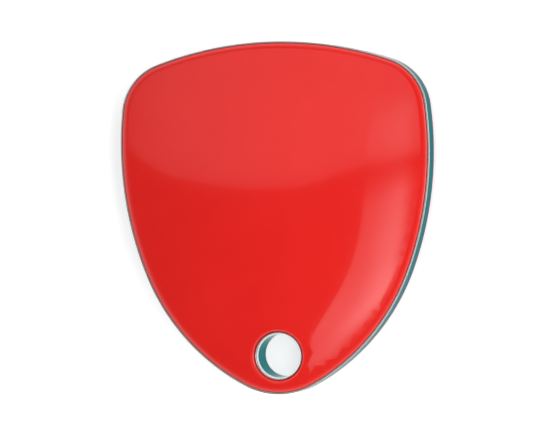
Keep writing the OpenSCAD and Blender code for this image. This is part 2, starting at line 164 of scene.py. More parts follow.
# ---------------------------------------------------------------- meshes
def loft(bm, rows, wrap=False, cap_low=False, cap_high=False):
    """Quads between rows of equal length. wrap joins the last row to the first."""
    verts = [[bm.verts.new(p) for p in row] for row in rows]
    pairs = list(zip(verts, verts[1:])) + ([(verts[-1], verts[0])] if wrap else [])
    for low, high in pairs:
        for j in range(len(low)):
            k = (j + 1) % len(low)
            bm.faces.new((low[j], high[j], high[k], low[k]))
    if cap_low:
        bm.faces.new(verts[0])
    if cap_high:
        bm.faces.new(list(reversed(verts[-1])))
    return verts


def lathe(bm, centre, profile, count=96, wrap=False):
    """A turned solid: profile is (radius, height) pairs. Points on the axis are closed by a fan."""
    rows = [circle(centre, max(r, 1e-7), z, count) for r, z in profile]
    verts = loft(bm, rows, wrap)
    for row, (r, _) in zip((verts[0], verts[-1]), (profile[0], profile[-1])):
        if r < 1e-6:
            bmesh.ops.remove_doubles(bm, verts=row, dist=1e-6)
    return verts


def piece(name, bm, body, material, replaces=(), weighted=True):
    """Turns the mesh into a finished piece that rides on a body."""
    bmesh.ops.recalc_face_normals(bm, faces=bm.faces)
    mesh = bpy.data.meshes.new(name)
    bm.to_mesh(mesh)
    bm.free()
    mesh.polygons.foreach_set("use_smooth", [True] * len(mesh.polygons))
    obj = bpy.data.objects.new(name, mesh)
    bpy.context.scene.collection.objects.link(obj)
    mesh.materials.append(material)
    if weighted:
        obj.modifiers.new("normals", "WEIGHTED_NORMAL").weight = 80
    if replaces:
        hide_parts(*replaces)
    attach(obj, body)
    return obj


# ---------------------------------------------------------------- materials
class Shader:
    """A small helper that builds a node material round one Principled shader."""

    def __init__(self, name):
        self.material = bpy.data.materials.new(name)
        self.material.use_nodes = True
        self.tree = self.material.node_tree
        self.bsdf = self.tree.nodes["Principled BSDF"]

    def node(self, kind, **inputs):
        made = self.tree.nodes.new(kind)
        for key, value in inputs.items():
            made.inputs[key.replace("_", " ")].default_value = value
        return made

    def link(self, source, target):
        self.tree.links.new(source, target)

    def coords(self, stretch=(1, 1, 1)):
        """Object coordinates in metres, stretched along each axis."""
        place = self.node("ShaderNodeTexCoord")
        mapping = self.node("ShaderNodeMapping")
        mapping.inputs["Scale"].default_value = stretch
        self.link(place.outputs["Object"], mapping.inputs["Vector"])
        return mapping.outputs["Vector"]

    def noise(self, scale, detail=3.0, stretch=(1, 1, 1), rough=0.55):
        noise = self.node("ShaderNodeTexNoise", Scale=scale, Detail=detail, Roughness=rough)
        self.link(self.coords(stretch), noise.inputs["Vector"])
        return noise.outputs["Fac"]

    def ramp(self, factor, stops):
        ramp = self.node("ShaderNodeValToRGB")
        elements = ramp.color_ramp.elements
        while len(elements) < len(stops):
            elements.new(0.5)
        for element, (position, value) in zip(elements, stops):
            element.position = position
            element.color = (*value, 1) if isinstance(value, tuple) else (value, value, value, 1)
        self.link(factor, ramp.inputs["Fac"])
        return ramp.outputs["Color"]

    def colour(self, factor, low, high, start=0.3, end=0.7):
        self.link(self.ramp(factor, [(start, low), (end, high)]), self.bsdf.inputs["Base Color"])

    def rough(self, factor, low, high, start=0.3, end=0.7):
        self.link(self.ramp(factor, [(start, low), (end, high)]), self.bsdf.inputs["Roughness"])

    def bump(self, factor, strength, distance):
        bump = self.node("ShaderNodeBump", Strength=strength, Distance=distance)
        self.link(factor, bump.inputs["Height"])
        self.link(bump.outputs["Normal"], self.bsdf.inputs["Normal"])

    def height(self, low, high):
        """0 below the height low and 1 above high, in the piece's own frame."""
        place = self.node("ShaderNodeTexCoord")
        split = self.node("ShaderNodeSeparateXYZ")
        share = self.node("ShaderNodeMapRange", From_Min=low, From_Max=high)
        self.link(place.outputs["Object"], split.inputs["Vector"])
        self.link(split.outputs["Z"], share.inputs["Value"])
        return share.outputs["Result"]

    def blend(self, factor, low, high):
        """Mixes two colour outputs."""
        mix = self.tree.nodes.new("ShaderNodeMix")
        mix.data_type = "RGBA"
        self.link(factor, mix.inputs["Factor"])
        self.link(low, mix.inputs["A"])
        self.link(high, mix.inputs["B"])
        return mix.outputs["Result"]

    def set(self, **values):
        for key, value in values.items():
            self.bsdf.inputs[key.replace("_", " ")].default_value = value
        return self


def red_gloss():
    """Deep glossy red, with a faint orange peel and a few hair-fine handling marks."""
    s = Shader("red_gloss")
    s.set(IOR=1.5, Coat_Weight=0.6, Coat_Roughness=0.02, Coat_IOR=1.5)
    s.colour(s.noise(90, 4), (0.735, 0.0135, 0.0105), (0.775, 0.0165, 0.0125))
    s.rough(s.noise(700, 6, (1, 6, 1)), 0.035, 0.07)
    s.bump(s.noise(420, 2), 0.05, 0.02 * MM)
    return s.material


def moulded(name, low, high, rough=(0.35, 0.5), grain=0.06):
    """Moulded plastic or rubber with a fine spark-eroded grain."""
    s = Shader(name)
    s.colour(s.noise(160, 4), low, high)
    s.rough(s.noise(900, 4), *rough)
    s.bump(s.noise(4200, 3), grain, 0.03 * MM)
    return s.material


def metal(name, low, high, rough=(0.12, 0.24), stretch=(1, 1, 1), grain=0.04, scale=900, highlight_band=None):
    """Plated or rolled metal with a stretched grain. The optional span of heights is where a painted
    highlight, a bright whitish colour and specular tint, covers the top edge.
    """
    s = Shader(name)
    s.set(Metallic=1.0)
    cloud = s.noise(scale * 0.3, 4, stretch)
    if highlight_band:
        # painted highlight: across the given heights the colour turns bright whitish and the specular tint
        # white, standing in for light caught on the top edge
        painted_highlight = s.height(*highlight_band)
        body = s.ramp(cloud, [(0.3, low), (0.7, high)])
        highlight_colour = s.ramp(cloud, [(0.3, (0.93, 0.86, 0.84)), (0.7, (0.98, 0.93, 0.91))])
        s.link(s.blend(painted_highlight, body, highlight_colour), s.bsdf.inputs["Base Color"])
        tint = s.ramp(painted_highlight, [(0, (0.22, 0.42, 0.44)), (1, (1.0, 0.98, 0.97))])
        s.link(tint, s.bsdf.inputs["Specular Tint"])
    else:
        s.colour(cloud, low, high)
    s.rough(s.noise(scale, 5, stretch), *rough)
    s.bump(s.noise(scale * 3, 3, stretch), grain, 0.01 * MM)
    return s.material


def floor_material():
    """Pale floor with a little light of its own, a touch more where it shows through the hole."""
    s = Shader("pale_floor")
    s.colour(s.noise(14, 5), (0.86, 0.86, 0.86), (0.89, 0.89, 0.89))
    s.rough(s.noise(60, 4), 0.6, 0.75)
    s.bump(s.noise(900, 4), 0.05, 0.05 * MM)
    s.set(Emission_Color=(1, 1, 1, 1))
    place = s.node("ShaderNodeTexCoord")
    reach = s.node("ShaderNodeVectorMath")
    reach.operation = "DISTANCE"
    reach.inputs[1].default_value = (HOLE.x, HOLE.y, 0)
    s.link(place.outputs["Object"], reach.inputs[0])
    glow = s.node("ShaderNodeMapRange", From_Min=3.5 * MM, From_Max=7 * MM, To_Min=0.58, To_Max=0.52)
    s.link(reach.outputs["Value"], glow.inputs["Value"])
    s.link(glow.outputs["Result"], s.bsdf.inputs["Emission Strength"])
    return s.material


RED = red_gloss()
RED_SHELL = moulded("red_shell", (0.60, 0.013, 0.011), (0.66, 0.018, 0.014), (0.16, 0.26), 0.03)
RED_INNER = moulded("red_inner", (0.36, 0.02, 0.018), (0.42, 0.028, 0.024), (0.4, 0.55))
# The frame's and eyelet's bright top edges are painted highlights, placed over the heights given
FRAME_METAL = metal("frame_metal", (0.055, 0.15, 0.16), (0.085, 0.20, 0.21), (0.14, 0.24), (1, 1, 14),
                    highlight_band=(FRAME_HIGH.z - 0.14 * MM, FRAME_HIGH.z - 0.06 * MM))
EYELET_METAL = metal("eyelet_metal", (0.15, 0.31, 0.315), (0.19, 0.38, 0.385), (0.08, 0.16), (1, 1, 10),
                     0.015, highlight_band=(EYELET_HIGH.z - BORE_FLARE, EYELET_HIGH.z - 0.75 * BORE_FLARE))
SEAL = moulded("seal_rubber", (0.028, 0.028, 0.030), (0.042, 0.042, 0.045), (0.5, 0.7), 0.1)
PAD = moulded("pad_rubber", (0.05, 0.05, 0.055), (0.075, 0.075, 0.08), (0.5, 0.65), 0.1)
MESH = moulded("mesh_cloth", (0.03, 0.03, 0.032), (0.06, 0.06, 0.063), (0.7, 0.85), 0.3)
BOND = moulded("adhesive", (0.62, 0.58, 0.50), (0.70, 0.66, 0.58), (0.3, 0.45))
BRASS = metal("brass_plate", (0.64, 0.45, 0.17), (0.72, 0.53, 0.22), (0.22, 0.36))
CERAMIC = moulded("ceramic_disc", (0.78, 0.76, 0.70), (0.84, 0.82, 0.76), (0.35, 0.5), 0.04)
BRONZE = metal("spring_bronze", (0.66, 0.46, 0.22), (0.74, 0.55, 0.28), (0.2, 0.34))
BOARD = moulded("board_green", (0.012, 0.105, 0.055), (0.018, 0.135, 0.072), (0.22, 0.34), 0.04)
CHIP = moulded("chip_black", (0.018, 0.018, 0.020), (0.030, 0.030, 0.032), (0.42, 0.58), 0.12)
CAN = metal("can_metal", (0.60, 0.62, 0.63), (0.70, 0.72, 0.73), (0.24, 0.36), (1, 12, 1))
ANTENNA = moulded("antenna_ceramic", (0.74, 0.73, 0.68), (0.82, 0.81, 0.76), (0.35, 0.5), 0.05)
FERRITE = moulded("ferrite", (0.05, 0.05, 0.055), (0.08, 0.08, 0.085), (0.5, 0.7), 0.15)
CAPACITOR = moulded("capacitor_ceramic", (0.36, 0.24, 0.14), (0.44, 0.31, 0.19), (0.3, 0.45))
TIN = metal("tin_plate", (0.62, 0.63, 0.64), (0.74, 0.75, 0.76), (0.22, 0.4))
SWITCH = moulded("switch_black", (0.025, 0.025, 0.028), (0.038, 0.038, 0.040), (0.35, 0.5))
STEEL = metal("switch_steel", (0.62, 0.63, 0.64), (0.72, 0.73, 0.74), (0.2, 0.32), (1, 12, 1))
PLUNGER = moulded("plunger_white", (0.76, 0.75, 0.70), (0.82, 0.81, 0.77), (0.3, 0.42))
SCREW = metal("screw_steel", (0.42, 0.43, 0.45), (0.52, 0.53, 0.55), (0.25, 0.4))
CELL_STEEL = metal("cell_steel", (0.44, 0.45, 0.46), (0.54, 0.55, 0.56), (0.2, 0.34), (9, 1, 1))
CELL_CAP = metal("cell_cap_steel", (0.56, 0.58, 0.59), (0.66, 0.68, 0.69), (0.26, 0.4))
GROMMET = moulded("grommet_plastic", (0.04, 0.04, 0.043), (0.06, 0.06, 0.063), (0.4, 0.55))
ELECTRODE = moulded("electrode", (0.20, 0.19, 0.18), (0.28, 0.27, 0.26), (0.7, 0.85), 0.2)

GOLD = metal("gold_pads", (0.78, 0.56, 0.22), (0.86, 0.65, 0.30), (0.22, 0.36))
SOLDER = metal("solder", (0.66, 0.67, 0.68), (0.78, 0.79, 0.80), (0.18, 0.3))
TRACE = moulded("board_trace", (0.022, 0.165, 0.082), (0.030, 0.20, 0.10), (0.2, 0.3), 0.02)
DOT = moulded("chip_dot", (0.34, 0.34, 0.35), (0.42, 0.42, 0.43), (0.5, 0.6))

CAD_MATERIALS = {
    "rear_cover": RED_SHELL, "perimeter_seal": SEAL, "eyelet_seal": SEAL, "sound_mesh": MESH,
    "sounder_bond": BOND, "sounder_plate": BRASS, "sounder_ceramic": CERAMIC,
    "sounder_contacts": BRONZE, "main_board": BOARD, "radio_chip": CHIP, "fast_crystal": CAN,
    "slow_crystal": CAN, "chip_antenna": ANTENNA, "sounder_inductor": FERRITE,
    "capacitor_bodies": CAPACITOR, "capacitor_ends": TIN, "switch_base": SWITCH,
    "switch_terminals": TIN, "switch_dome": STEEL, "switch_cover": STEEL,
    "switch_plunger": PLUNGER, "negative_contact": BRONZE, "positive_contact": BRONZE,
    "board_screws": SCREW, "bezel_frame": FRAME_METAL, "keyring_eyelet": EYELET_METAL,
    "face_gasket": SEAL, "face_plate": RED_INNER, "face_bond": BOND, "face_dome": RED,
    "press_pad": PAD, "cell_can": CELL_STEEL, "cell_cap": CELL_CAP, "cell_grommet": GROMMET,
    "cell_core": ELECTRODE,
}

# Widths of the softened edges, in millimetres
BEVELS = {
    "radio_chip": 0.05, "fast_crystal": 0.16, "slow_crystal": 0.2, "chip_antenna": 0.07,
    "sounder_inductor": 0.12, "capacitor_bodies": 0.04, "capacitor_ends": 0.05, "switch_base": 0.08,
    "switch_terminals": 0.03, "switch_cover": 0.04, "positive_contact": 0.04, "sounder_contacts": 0.03,
    "press_pad": 0.06, "board_screws": 0.03, "main_board": 0.04,
}


def smooth_by_angle(limit):
    """A node group that smooths shading across edges flatter than limit, in radians."""
    group = bpy.data.node_groups.new("smooth_by_angle", "GeometryNodeTree")
    group.interface.new_socket("Geometry", in_out="INPUT", socket_type="NodeSocketGeometry")
    group.interface.new_socket("Geometry", in_out="OUTPUT", socket_type="NodeSocketGeometry")
    start, end = group.nodes.new("NodeGroupInput"), group.nodes.new("NodeGroupOutput")
    clean = group.nodes.new("GeometryNodeRemoveAttribute")
    clean.inputs["Name"].default_value = "custom_normal"
    faces = group.nodes.new("GeometryNodeSetShadeSmooth")
    faces.domain = "FACE"
    faces.inputs["Shade Smooth"].default_value = True
    edges = group.nodes.new("GeometryNodeSetShadeSmooth")
    edges.domain = "EDGE"
    edges.inputs["Shade Smooth"].default_value = False
    angle = group.nodes.new("GeometryNodeInputMeshEdgeAngle")
    sharp = group.nodes.new("FunctionNodeCompare")
    sharp.inputs["B"].default_value = limit
    links = group.links
    links.new(start.outputs[0], clean.inputs["Geometry"])
    links.new(clean.outputs["Geometry"], faces.inputs["Geometry"])
    links.new(faces.outputs["Geometry"], edges.inputs["Geometry"])
    links.new(angle.outputs["Unsigned Angle"], sharp.inputs["A"])
    links.new(sharp.outputs["Result"], edges.inputs["Selection"])
    links.new(edges.outputs["Geometry"], end.inputs[0])
    return group


def dress_cad_nodes():
    """Gives every CAD node its finished material, welded and smoothed, with softened edges."""
    smooth = smooth_by_angle(math.radians(32))
    for name, material in CAD_MATERIALS.items():
        node = NODES[name]
        node.data.materials.clear()
        node.data.materials.append(material)
        node.modifiers.new("weld", "WELD").merge_threshold = 1e-6
        if name in BEVELS:
            bevel = node.modifiers.new("soft_edges", "BEVEL")
            bevel.width = BEVELS[name] * MM
            bevel.segments = 3
            bevel.limit_method = "ANGLE"
            bevel.angle_limit = math.radians(40)
        node.modifiers.new("smooth", "NODES").node_group = smooth


# ---------------------------------------------------------------- face
def outline_radius(direction):
    """Distance from the middle to the outline along a direction."""
    best = 0
    for centre, radius, start, end in outline_arcs():
        for side in (1, -1):
            u = Vector((direction.x * side, direction.y))
            along = u.dot(centre)
            inside = along * along - centre.length_squared + radius * radius
            if inside < 0:
                continue
            t = along + math.sqrt(inside)
            hit = u * t - centre
            a = math.atan2(hit.y, hit.x)
            if end - 1e-6 <= a <= start + 1e-6 and u.x * t >= -1e-9:
                best = max(best, t)
    return best


def crown_height(x, y):
    """Height of the dome's crown, before its border and its hole are rounded off."""
    p = Vector((x, y))
    if p.length < 1e-6:
        return FACE_HIGH.z
    share = p.length / outline_radius(p.normalized())
    return FACE_HIGH.z - DOME_SAG * share**DOME_POWER


def border(x, y, rise):
    """Height where the rounded border has risen by the share rise, from 0 to 1."""
    return DOME_SIDE_Z + (crown_height(x, y) - DOME_SIDE_Z) * rise


def face_dome():
    """Domed face with a rounded border and a flared round opening at the hole."""
    bm = bmesh.new()
    outer = [ring(0, FACE_LOW.z), ring(0, DOME_SIDE_Z - 0.1 * MM)]
    for degrees in range(0, 91, 9):
        a = math.radians(degrees)
        level = ring(-DOME_EDGE_W * (1 - math.cos(a)), 0)
        outer.append([(x, y, border(x, y, math.sin(a))) for x, y, _ in level])
    inner = []
    for degrees in range(90, -1, -10):
        a = math.radians(degrees)
        level = circle(HOLE, FACE_HOLE_R + FLARE_R * (1 - math.cos(a)), 0)
        inner.append([(x, y, crown_height(x, y) - FLARE_R * (1 - math.sin(a))) for x, y, _ in level])
    inner.append(circle(HOLE, FACE_HOLE_R, FACE_LOW.z))
    top_edge, hole_edge = outer[-1], inner[0]
    loft(bm, outer)
    loft(bm, inner)
    for rim, eyelet, height in (
        (top_edge, hole_edge, crown_height),
        (outer[0], inner[-1], lambda x, y: FACE_LOW.z),
    ):
        fill_between(bm, rim, eyelet, height)
    bmesh.ops.remove_doubles(bm, verts=bm.verts, dist=1e-7)
    return piece("face_dome_shell", bm, "face", RED, ["face_dome"])


def fill_between(bm, rim, hole, height):
    """Triangles between an outer loop and a hole, with a grid of points laid inside."""
    flat = [Vector(p[:2]) for p in rim] + [Vector(p[:2]) for p in hole]
    n, m = len(rim), len(hole)
    edges = [(i, (i + 1) % n) for i in range(n)] + [(n + i, n + (i + 1) % m) for i in range(m)]
    hole_r = (flat[n] - HOLE.xy).length + DOME_GRID * 0.6
    inset = DOME_EDGE_W + DOME_GRID * 0.7
    xs = range(math.floor(FACE_LOW.x / DOME_GRID), math.ceil(FACE_HIGH.x / DOME_GRID) + 1)
    ys = range(math.floor(FACE_LOW.y / DOME_GRID), math.ceil(FACE_HIGH.y / DOME_GRID) + 1)
    for i in xs:
        for j in ys:
            p = Vector(((i + 0.5 * (j % 2)) * DOME_GRID, j * DOME_GRID))
            room = outline_radius(p.normalized()) - p.length if p.length > 0 else 1
            if room > inset and (p - HOLE.xy).length > hole_r:
                flat.append(p)
    points, _, faces, _, _, _ = delaunay_2d_cdt(flat, edges, [], 0, 1e-9)
    verts = [bm.verts.new((p.x, p.y, height(p.x, p.y))) for p in points]
    for face in faces:
        middle = sum((points[i] for i in face), Vector((0, 0))) / len(face)
        if (middle - HOLE.xy).length > hole_r - DOME_GRID * 0.6:
            bm.faces.new([verts[i] for i in face])


# ---------------------------------------------------------------- frame and eyelet
def bezel_frame():
    """Frame with a rounded back edge, an inner ledge, and a boss round the eyelet."""
    bm = bmesh.new()
    z0, z1 = FRAME_LOW.z, FRAME_HIGH.z
    start = math.acos(1 - z0 / BACK_R)
    turns = [start + (math.pi / 2 - start) * i / 8 for i in range(9)]
    outer = [(FRAME_D - BACK_R * (1 - math.sin(a)), BACK_R * (1 - math.cos(a))) for a in turns]
    inner = fillet([(FRAME_D, z1), (FACE_GAP, z1), (FACE_GAP, LEDGE_TOP), (-LEDGE_W, LEDGE_TOP),
                    (-LEDGE_W, LEDGE_LOW), (-FRAME_WALL, LEDGE_LOW), (-FRAME_WALL, z0)], 0.09 * MM)
    loft(bm, [ring(d, z) for d, z in outer + inner], wrap=True)
    boss = fillet([(BOSS_IN, LEDGE_TOP), (BOSS_OUT, LEDGE_TOP), (BOSS_OUT, z0), (BOSS_IN, z0)], 0.12 * MM)
    lathe(bm, HOLE, [tuple(p) for p in boss], wrap=True)
    return piece("bezel_frame_shell", bm, "front_half", FRAME_METAL, ["bezel_frame"])


def keyring_eyelet():
    """Tube with a flared upper mouth, a rolled lower rim and a collar."""
    bm = bmesh.new()
    rim = (EYELET_R - BORE_R) / 2
    mid = (EYELET_R + BORE_R) / 2
    neck = 0.3 * MM
    half_turn = [math.radians(15 * i) for i in range(13)]
    flare = [math.radians(10 * i) for i in range(10)]
    profile = [(BORE_R + 1.5 * rim * (1 - math.cos(a)), EYELET_HIGH.z - BORE_FLARE * (1 - math.sin(a)))
               for a in flare]
    profile += [(EYELET_R - 0.5 * rim * (1 - math.sin(a)), EYELET_HIGH.z - 0.5 * rim * (1 - math.cos(a)))
                for a in half_turn[:7]]
    profile += fillet([(EYELET_R, COLLAR_HIGH + neck), (EYELET_R, COLLAR_HIGH), (COLLAR_R, COLLAR_HIGH),
                       (COLLAR_R, COLLAR_LOW), (EYELET_R, COLLAR_LOW), (EYELET_R, COLLAR_LOW - neck)],
                      0.05 * MM, closed=False)
    profile += [(mid + rim * math.cos(a), EYELET_LOW.z + rim - rim * math.sin(a)) for a in half_turn]
    lathe(bm, HOLE, [tuple(p) for p in profile], count=128, wrap=True)
    return piece("keyring_eyelet_tube", bm, "front_half", EYELET_METAL, ["keyring_eyelet"])


# ---------------------------------------------------------------- board details
def islands(node):
    """The corner points of each separate solid in a CAD node."""
    bm = bmesh.new()
    bm.from_mesh(NODES[node].data)
    bmesh.ops.remove_doubles(bm, verts=bm.verts, dist=1e-6)
    waiting, groups = set(bm.verts), []
    while waiting:
        queue, group = [waiting.pop()], []
        while queue:
            vert = queue.pop()
            group.append(vert.co.copy())
            for edge in vert.link_edges:
                other = edge.other_vert(vert)
                if other in waiting:
                    waiting.remove(other)
                    queue.append(other)
        groups.append(group)
    bm.free()
    return groups


def middle_of(points):
    return (sum(points, Vector()) / len(points)).xy


def plan(node):
    """Middle and half size of a node seen from above."""
    low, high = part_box(node)
    return ((low + high) / 2).xy, ((high - low) / 2).xy


def plate(bm, centre, along, length, width, z0, z1):
    """Thin block centred in plan, its length along a direction."""
    across = Vector((-along.y, along.x))
    corners = [centre + along * sx * length / 2 + across * sy * width / 2
               for sx, sy in ((-1, -1), (1, -1), (1, 1), (-1, 1))]
    loft(bm, [[(*c, z) for c in corners] for z in (z0, z1)], cap_low=True, cap_high=True)


def dot(bm, centre, r, z0, z1, count=20):
    loft(bm, [circle(centre, r, z, count) for z in (z0, z1)], cap_low=True, cap_high=True)


def annulus(bm, centre, r_in, r_out, z0, z1, count=28):
    lathe(bm, centre, [(r_in, z0), (r_in, z1), (r_out, z1), (r_out, z0)], count, wrap=True)


def capacitor_ends():
    """(middle, direction away from the capacitor) of each capacitor's metal end."""
    middles = [middle_of(points) for points in islands("capacitor_ends")]
    pairs = []
    for here in middles:
        partner = min((m for m in middles if m is not here), key=lambda m: (m - here).length)
        pairs.append((here, (here - partner).normalized()))
    return pairs


def terminals():
    """(middle, direction away from the switch) of each switch terminal."""
    middle, _ = plan("switch_base")
    return [(m, Vector((math.copysign(1, m.x - middle.x), 0)))
            for m in map(middle_of, islands("switch_terminals"))]


# Pads round a part: counts along its two pairs of edges, then a pad's length and width in millimetres
EDGE_PADS = {
    "radio_chip": ((8, 8), (0.5, 0.24)), "fast_crystal": ((2, 2), (0.9, 0.7)),
    "slow_crystal": ((0, 1), (0.8, 1.3)), "sounder_inductor": ((0, 1), (0.9, 2.4)),
}


def board_copper():
    """Gold pads under every part, rings round the screws, test pads and stitching vias."""
    bm = bmesh.new()
    z0, z1 = BOARD_TOP - COPPER_SUNK, BOARD_TOP + 0.018 * MM
    for middle, out in capacitor_ends():
        plate(bm, middle + out * 0.12 * MM, out, 0.5 * MM, 0.62 * MM, z0, z1)
    for middle, out in terminals():
        plate(bm, middle + out * 0.2 * MM, out, 1.1 * MM, 0.9 * MM, z0, z1)
    for node, (counts, pad) in EDGE_PADS.items():
        edge_pads(bm, *plan(node), counts, pad, z0, z1)
    middle, half = plan("chip_antenna")
    for side in (-1, 1):
        axis = heading(ANTENNA_TURN)
        plate(bm, middle + axis * side * 3.35 * MM, axis, 1.1 * MM, 2.2 * MM, z0, z1)
    for points in islands("board_screws"):
        annulus(bm, middle_of(points), 0.72 * MM, 1.18 * MM, z0, z1)
    for i in range(-2, 3):
        dot(bm, Vector((1.6 * i, -11.6)) * MM, 0.45 * MM, z0, z1)
    for spot in via_places():
        annulus(bm, spot, 0.12 * MM, 0.25 * MM, z0, z1, 16)
    annulus(bm, CELL.xy, 10.95 * MM, 11.12 * MM, z0, z1, 120)
    piece("board_copper", bm, "rear_half", GOLD, weighted=False)


def edge_pads(bm, middle, half, counts, pad, z0, z1):
    """Pads that peek out round a part: counts along its upper and lower, then its left and right edges."""
    length, width = (v * MM for v in pad)
    for count, out in ((counts[0], Vector((0, 1))), (counts[0], Vector((0, -1))),
                       (counts[1], Vector((1, 0))), (counts[1], Vector((-1, 0)))):
        across = Vector((-out.y, out.x))
        reach = abs(out.dot(half))
        span = 2 * abs(across.dot(half))
        for i in range(count):
            share = (i + 0.5) / count - 0.5
            plate(bm, middle + out * reach + across * share * span, out, length, width, z0, z1)


def occupied():
    """Boxes in plan that the board's parts cover."""
    nodes = ("radio_chip", "fast_crystal", "slow_crystal", "chip_antenna", "sounder_inductor",
             "switch_base", "positive_contact")
    boxes = [plan(node) for node in nodes]
    for node in ("capacitor_bodies", "capacitor_ends", "switch_terminals", "board_screws"):
        boxes += [(middle_of(points), Vector((0.7, 0.7)) * MM) for points in islands(node)]
    return boxes


def via_places():
    """Places for vias along the board's edge and round its window, clear of its parts."""
    boxes, room = occupied(), 0.7 * MM
    edge = [Vector(p[:2]) for p in ring(-2.45 * MM, 0)[::3]]
    window = [Vector(p[:2]) for p in circle(CELL, CLEAR_OF_CELL, 0, 44)]
    spots = []
    for spot in edge + window:
        clear = all(abs(spot.x - m.x) > h.x + room or abs(spot.y - m.y) > h.y + room for m, h in boxes)
        inside = (spot.length < outline_radius(spot.normalized()) - 2.2 * MM and spot.y > -12.4 * MM
                  and (spot - HOLE.xy).length > 5.7 * MM)
        if clear and inside and all((spot - other).length > 1.1 * MM for other in spots):
            spots.append(spot)
    return spots


# Runs of the board's traces between its parts, listed as corners in millimetres
TRACE_RUNS = (
    ((-15.4, -0.2), (-15.3, -1.1)),
    ((-13.4, -0.2), (-13.4, -1.7)),
    ((-12.2, -0.2), (-12.2, -0.9), (-9.6, -3.5), (-9.3, -4.2)),
    ((-14.4, -0.2), (-14.4, -3.6), (-12.1, -5.9), (-12.1, -8.2), (-9.9, -10.4)),
    ((-11.5, 1.2), (-10.4, 0.1), (-7.4, -2.9), (-4.6, -3.4), (7.2, -3.4), (8.5, -4.6)),
    ((-11.5, 0.6), (-10.7, -0.2), (-7.5, -3.4), (-4.7, -3.9), (5.2, -3.9), (9.4, -5.6), (9.4, -6.3)),
    ((9.5, -4.6), (10.1, -4.3)), ((11.1, -3.9), (11.7, -3.6)), ((12.7, -3.2), (13.5, -2.9), (13.9, -1.9)),
    ((-2.9, -6.0), (-4.1, -6.0)), ((-2.9, -8.4), (-4.1, -8.4)), ((2.9, -6.0), (4.1, -5.8)),
    ((2.9, -8.4), (3.7, -8.4), (4.6, -9.3)), ((7.0, -10.6), (8.4, -10.6), (8.4, -8.8)),
    ((-4.1, -9.1), (-4.1, -10.4), (-4.9, -11.2)), ((-5.9, -11.2), (-7.6, -11.2), (-8.9, -10.6)),
    ((-3.2, -11.6), (-2.2, -10.6), (1.8, -10.6), (4.2, -10.6)),
    ((-13.4, 4.7), (-13.4, 6.0)), ((-15.9, 6.1), (-15.6, 4.7)),
    ((-14.6, 4.7), (-14.6, 9.4), (-12.6, 12.4), (-12.0, 13.6)),
    ((14.4, 7.9), (14.4, 10.2), (14.5, 11.8)), ((14.4, 6.9), (14.8, 5.2)),
)


def board_traces():
    """Copper runs under the board's green coat, seen as faint ridges."""
    bm = bmesh.new()
    z0, z1, width = BOARD_TOP - COPPER_SUNK, BOARD_TOP + 0.01 * MM, 0.2 * MM
    for run in TRACE_RUNS:
        points = [Vector(p) * MM for p in run]
        for a, b in zip(points, points[1:]):
            plate(bm, (a + b) / 2, (b - a).normalized(), (b - a).length, width, z0, z1)
        for p in points[1:-1]:
            dot(bm, p, width / 2, z0, z1 - 0.001 * MM, 12)
    piece("board_traces", bm, "rear_half", TRACE, weighted=False)


def solder():
    """Concave solder fillets at the capacitors' ends and the switch's terminals."""
    bm = bmesh.new()
    z = BOARD_TOP
    joints = [(m + out * 0.11 * MM, out, 0.5 * MM, 0.24 * MM, 0.36 * MM) for m, out in capacitor_ends()]
    joints += [(m + out * 0.35 * MM, out, 0.6 * MM, 0.3 * MM, 0.14 * MM) for m, out in terminals()]
    for foot, out, width, reach, height in joints:
        across = Vector((-out.y, out.x))
        rows = []
        for i in range(6):
            t = i / 5
            grow = 1 + 0.2 * t
            p = foot + out * reach * t
            left, right = (p + across * side * width * grow / 2 for side in (-1, 1))
            top = z + height * (1 - t) ** 2
            crest = top + 0.02 * MM * (1 - t)
            rows.append([(*left, z), (*left, top), (*p, crest), (*right, top), (*right, z)])
        loft(bm, rows, cap_low=True, cap_high=True)
    piece("solder_joints", bm, "rear_half", SOLDER)


def part_marks():
    """Pin-one dot on the chip, and end bands and a thin middle strip on the antenna."""
    bm = bmesh.new()
    middle, half = plan("radio_chip")
    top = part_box("radio_chip")[1].z
    dot(bm, middle + Vector((-half.x, half.y)) * 0.72, 0.28 * MM, top - 0.02 * MM, top + 0.008 * MM)
    piece("chip_dot", bm, "rear_half", DOT, weighted=False)
    bm = bmesh.new()
    middle, half = plan("chip_antenna")
    low, high = (corner.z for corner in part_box("chip_antenna"))
    axis = heading(ANTENNA_TURN)
    for side in (-1, 1):
        plate(bm, middle + axis * side * 3.18 * MM, axis, 0.68 * MM, 2.03 * MM, low, high + 0.015 * MM)
    plate(bm, middle, axis, 4.6 * MM, 0.35 * MM, high - 0.01 * MM, high + 0.012 * MM)
    piece("antenna_bands", bm, "rear_half", TIN, weighted=False)


def cell_shell():
    """Pressed steel can with rolled edges, a stepped face and a plus sign."""
    bm = bmesh.new()
    z0, z1 = CELL_LOW.z, CELL_HIGH.z
    r = (CELL_HIGH.x - CELL_LOW.x) / 2
    wall = 0.25 * MM
    face = z1 - 0.03 * MM
    outer = [(0, face), (r - 1.6 * MM, face), (r - 1.4 * MM, z1 - 0.005 * MM), (r, z1 - 0.005 * MM),
             (r, z0), (r - 0.8 * MM, z0)]
    inner = [(r - 0.8 * MM, z0 + 0.2 * MM), (r - wall, z0 + 0.2 * MM), (r - wall, z1 - wall),
             (0, z1 - wall)]
    profile = fillet(outer, 0.22 * MM, closed=False, steps=5) + [Vector(p) for p in inner]
    lathe(bm, CELL, [tuple(p) for p in profile], count=128)
    for turn in (0, 90):
        plate(bm, CELL.xy + Vector((0, 5 * MM)), heading(math.radians(turn)), 2.4 * MM, 0.5 * MM,
              face - 0.01 * MM, z1 - 0.004 * MM)
    piece("cell_can_pressed", bm, "cell", CELL_STEEL, ["cell_can"])


